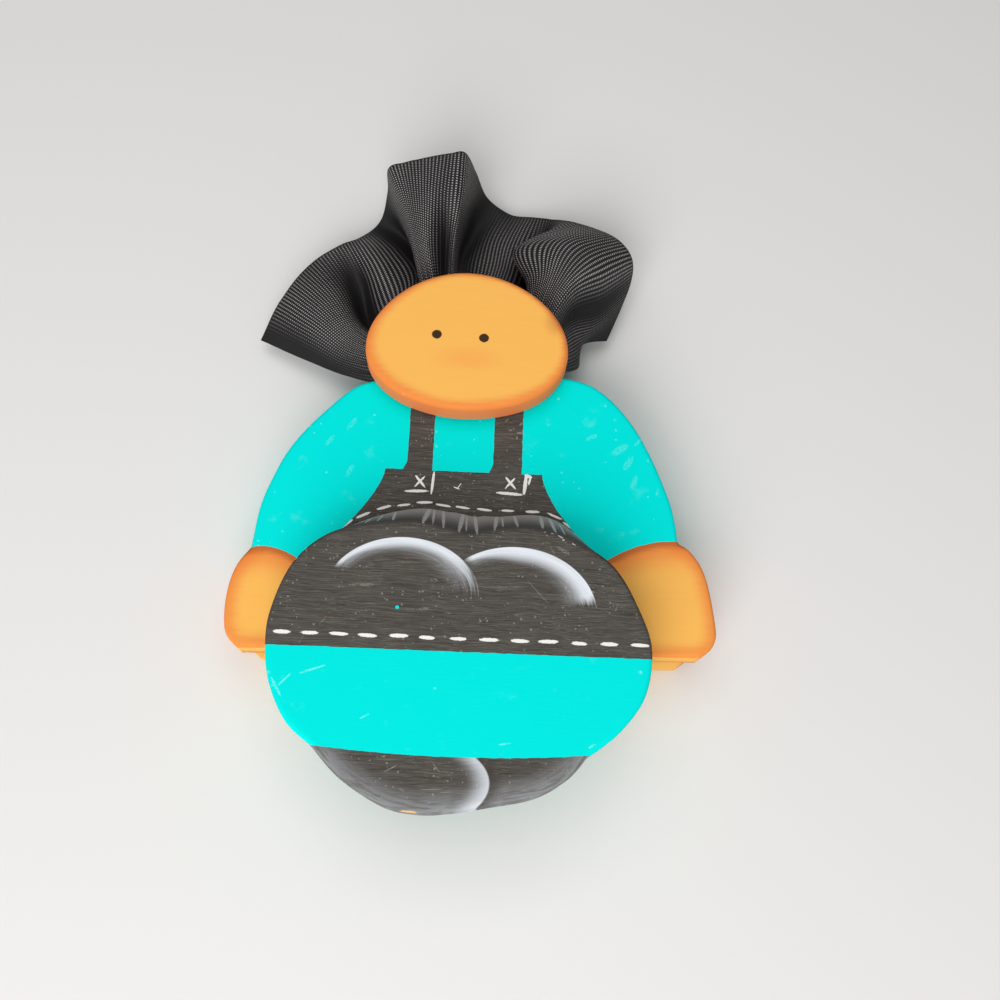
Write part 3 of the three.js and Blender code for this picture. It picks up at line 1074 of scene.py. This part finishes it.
def fold_depths(row):
    """How far each point of a row lies below the ribbon on both sides of it, in millimetres."""
    depths = []
    for index, point in enumerate(row):
        beside = row[max(0, index - FOLD_REACH) : index + FOLD_REACH + 1]
        depths.append(sum(other.z for other in beside) / len(beside) - point.z)
    return depths


def ribbon_rows():
    """Rows of points from the gathered edge to the free edge, and how far along the flat ribbon they lie."""
    shares = [step / ALONG_STEPS for step in range(ALONG_STEPS + 1)]
    free_knots = [rib[-1] for rib in RIBS]
    flat = running_lengths([spline_point(free_knots, share) for share in shares])
    rows = []
    for across_step in range(ACROSS_STEPS + 1):
        across = across_step / ACROSS_STEPS
        knots = [spline_point(rib, across) for rib in RIBS]
        row = []
        for share, distance in zip(shares, flat):
            point = spline_point(knots, share)
            row.append(pressed(point + Vector((0, 0, gathers(distance, across) + crinkle(point)))))
        rows.append(row)
    return rows, flat


def ribbon_mesh(sizes):
    """The gathered ribbon, with its flat measures as the UV map strip and its folds as in_fold."""
    rows, flat = ribbon_rows()
    depths = [fold_depths(row) for row in rows]
    stretch = sizes.length / MM / flat[-1]
    strip = bmesh.new()
    uv_layer = strip.loops.layers.uv.new("strip")
    bmesh.ops.create_grid(strip, x_segments=ALONG_STEPS, y_segments=ACROSS_STEPS, size=0.5)
    for face in strip.faces:
        for loop in face.loops:
            along, across = loop.vert.co.x + 0.5, loop.vert.co.y + 0.5
            loop[uv_layer].uv = (flat[round(along * ALONG_STEPS)] * stretch, across * sizes.width / MM)
    in_fold = strip.verts.layers.float.new("in_fold")
    for vertex in strip.verts:
        along = round((vertex.co.x + 0.5) * ALONG_STEPS)
        across = round((vertex.co.y + 0.5) * ACROSS_STEPS)
        vertex[in_fold] = depths[across][along]
        vertex.co = rows[across][along]
    settle(strip, (0, SEAT, 0))
    return strip


class FIGURE_OT_body_board(Operator):
    """Build the painted body board with its sleeves and hands"""

    bl_idname = "figure.body_board"
    bl_label = "Body board"

    def execute(self, context):
        settings = context.scene.basket_sitter
        sizes = settings.boards
        thickness = (BODY_HIGH.z - BODY_LOW.z) / MM
        board = sawn_board(body_outline(), BOARD_RIM_PITCH, 3.1, thickness, sizes.board_ease, sizes)
        shape_seat(board, thickness)
        settle_board(board, (0, SEAT, BODY_LOW.z))
        piece = finish_piece("painted_body", board, body_material(settings.paints))
        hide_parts("body_board")
        return {"FINISHED"}


class FIGURE_OT_lap_board(Operator):
    """Build the painted lap board with its planed top edge"""

    bl_idname = "figure.lap_board"
    bl_label = "Lap board"

    def execute(self, context):
        settings = context.scene.basket_sitter
        sizes = settings.boards
        thickness = (LAP_HIGH.z - LAP_LOW.z) / MM
        board = sawn_board(lap_outline(), BOARD_RIM_PITCH, 8.4, thickness, sizes.board_ease, sizes)
        for vertex in board.verts:
            slope = top_slope_at(vertex.co.x, vertex.co.y)
            vertex.co.y += slope * (1 - vertex.co.z / thickness)
        settle_board(board, (0, SEAT, LAP_LOW.z))
        piece = finish_piece("painted_lap_board", board, lap_material(settings.paints))
        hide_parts("lap_board")
        return {"FINISHED"}


class FIGURE_OT_head(Operator):
    """Build the oval head with its painted face"""

    bl_idname = "figure.head"
    bl_label = "Head"

    def execute(self, context):
        settings = context.scene.basket_sitter
        sizes = settings.boards
        thickness = (HEAD_HIGH.z - HEAD_LOW.z) / MM
        board = sawn_board(head_outline(), HEAD_RIM_PITCH, 5.7, thickness, sizes.head_ease, sizes)
        settle_board(board, (HEAD_CENTRE.x, HEAD_CENTRE.y, HEAD_LOW.z))
        piece = finish_piece("painted_head", board, head_material(settings.paints))
        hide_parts("head")
        return {"FINISHED"}


class FIGURE_OT_ribbon_bonnet(Operator):
    """Gather the ribbon into a bonnet behind the head"""

    bl_idname = "figure.ribbon_bonnet"
    bl_label = "Ribbon bonnet"

    def execute(self, context):
        sizes = context.scene.basket_sitter.ribbon
        piece = finish_piece("ribbon_bonnet", ribbon_mesh(sizes), ribbon_material(sizes))
        solid = piece.modifiers.new("Thickness", "SOLIDIFY")
        solid.thickness = sizes.thickness
        solid.offset = 0
        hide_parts("bonnet_ribbon")
        return {"FINISHED"}


def soft_light(name, spot, width, power):
    """A square lamp that faces the origin."""
    lamp = bpy.data.lights.new(name, "AREA")
    lamp.shape = "SQUARE"
    lamp.size = width
    lamp.energy = power
    light = bpy.data.objects.new(name, lamp)
    light.location = spot
    light.rotation_euler = (-Vector(spot)).to_track_quat("-Z", "Y").to_euler()
    bpy.context.scene.collection.objects.link(light)


def lay_floor(scene, floor_colour):
    """A plain pale floor, which is no part of the figure."""
    floor_mesh = bmesh.new()
    bmesh.ops.create_grid(floor_mesh, x_segments=1, y_segments=1, size=FLOOR_HALF_WIDTH)
    mesh = bpy.data.meshes.new("floor")
    floor_mesh.to_mesh(mesh)
    floor_mesh.free()
    floor = bpy.data.objects.new("floor", mesh)
    scene.collection.objects.link(floor)
    material, shader, _ = new_material("floor", 0.5)
    shader.inputs["Base Color"].default_value = floor_colour
    shader.inputs["Roughness"].default_value = 0.9
    mesh.materials.append(material)


def set_camera(scene, settings):
    """The camera, at the photograph's viewing angle."""
    camera = bpy.data.cameras.new("camera")
    camera.lens = settings.lens
    camera.sensor_width = 36
    camera.clip_start = 0.01
    camera.clip_end = 20
    viewer = bpy.data.objects.new("camera", camera)
    spot, aim = Vector(settings.camera_place), Vector(settings.camera_aim)
    viewer.location = spot
    viewer.rotation_mode = "QUATERNION"
    level = (aim - spot).to_track_quat("-Z", "Y")
    viewer.rotation_quaternion = level @ Quaternion((0, 0, 1), settings.camera_roll)
    scene.collection.objects.link(viewer)
    scene.camera = viewer


class FIGURE_OT_stage(Operator):
    """Set the floor, the lights and the camera"""

    bl_idname = "figure.stage"
    bl_label = "Stage"

    def execute(self, context):
        scene = context.scene
        settings = scene.basket_sitter.stage
        lay_floor(scene, settings.floor)
        soft_light("key_light", *KEY_LIGHT, settings.key_power)
        soft_light("fill_light", *FILL_LIGHT, settings.fill_power)
        world = bpy.data.worlds.new("sky")
        world.use_nodes = True
        world.node_tree.nodes["Background"].inputs["Strength"].default_value = settings.sky
        world.node_tree.nodes["Background"].inputs["Color"].default_value = (1, 1, 1, 1)
        scene.world = world
        set_camera(scene, settings)
        scene.view_settings.view_transform = "Standard"
        return {"FINISHED"}


class FIGURE_PT_basket_sitter(Panel):
    """Lists the figure's pieces"""

    bl_label = "Basket sitter"
    bl_space_type = "VIEW_3D"
    bl_region_type = "UI"
    bl_category = "Basket sitter"

    def draw(self, context):
        column = self.layout.column()
        for each in PIECES:
            column.operator(each.bl_idname)


PIECES = (
    FIGURE_OT_stage, FIGURE_OT_body_board, FIGURE_OT_lap_board, FIGURE_OT_head, FIGURE_OT_ribbon_bonnet,
)
GROUPS = (PaintColours, BoardSizes, RibbonSizes, StageSettings, BasketSitterSettings)


def register():
    for each in (*GROUPS, *PIECES, FIGURE_PT_basket_sitter):
        bpy.utils.register_class(each)
    bpy.types.Scene.basket_sitter = PointerProperty(type=BasketSitterSettings)


def unregister():
    del bpy.types.Scene.basket_sitter
    for each in reversed((*GROUPS, *PIECES, FIGURE_PT_basket_sitter)):
        bpy.utils.unregister_class(each)


def main():
    register()
    bpy.ops.figure.stage()
    bpy.ops.figure.body_board()
    bpy.ops.figure.lap_board()
    bpy.ops.figure.head()
    bpy.ops.figure.ribbon_bonnet()


if __name__ == "__main__":
    main()
